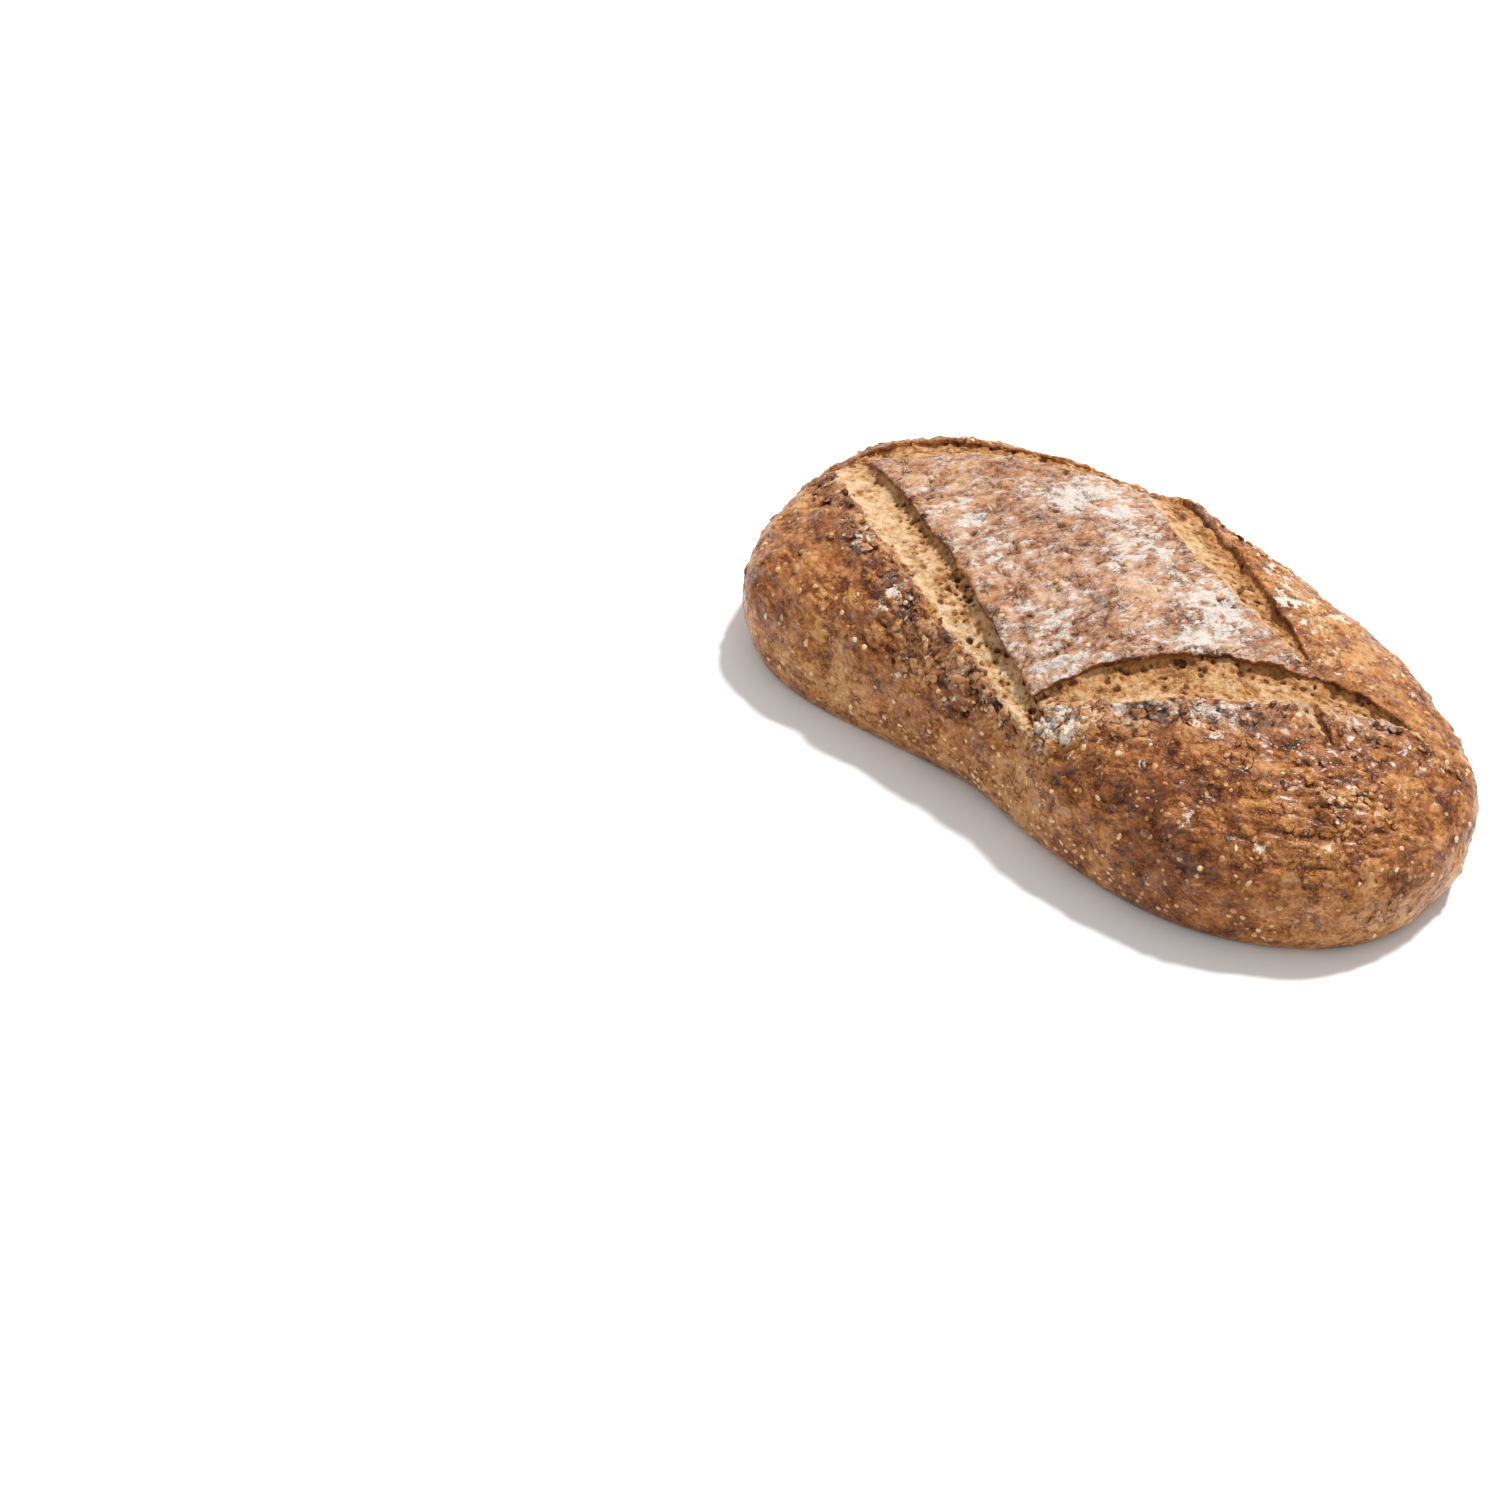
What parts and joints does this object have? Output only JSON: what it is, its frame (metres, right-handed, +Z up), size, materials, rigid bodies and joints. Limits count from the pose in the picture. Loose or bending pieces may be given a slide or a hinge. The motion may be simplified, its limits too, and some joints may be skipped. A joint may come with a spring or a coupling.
{
  "type": "multiseed sourdough loaf",
  "caption": "Whole long hearth loaf with a domed, seeded and floured crust, a drawn-in waist, and slashes that open a diamond on the top.",
  "frame": {"origin": "middle of the footprint, on the surface that the loaf rests on", "axes": "+X along the loaf towards its narrower end, +Z up, and the drawn-in waist of the long side faces -Y"},
  "size_m": [0.321, 0.1661, 0.0732],
  "materials": {
    "crust": "baked crust: golden to dark brown, semi-matt, glossy where it is darkest, with pale flour and open tan crumb in the slashes",
    "pale_seeds": "millet and sesame: cream to honey, with a slight gloss",
    "dark_seeds": "linseed: dark red-brown, glossy",
    "flakes": "oat and wheat flakes: dull tan, dusted with flour"
  },
  "bodies": {
    "root": {"loaf": "crust"}
  },
  "joints": []
}
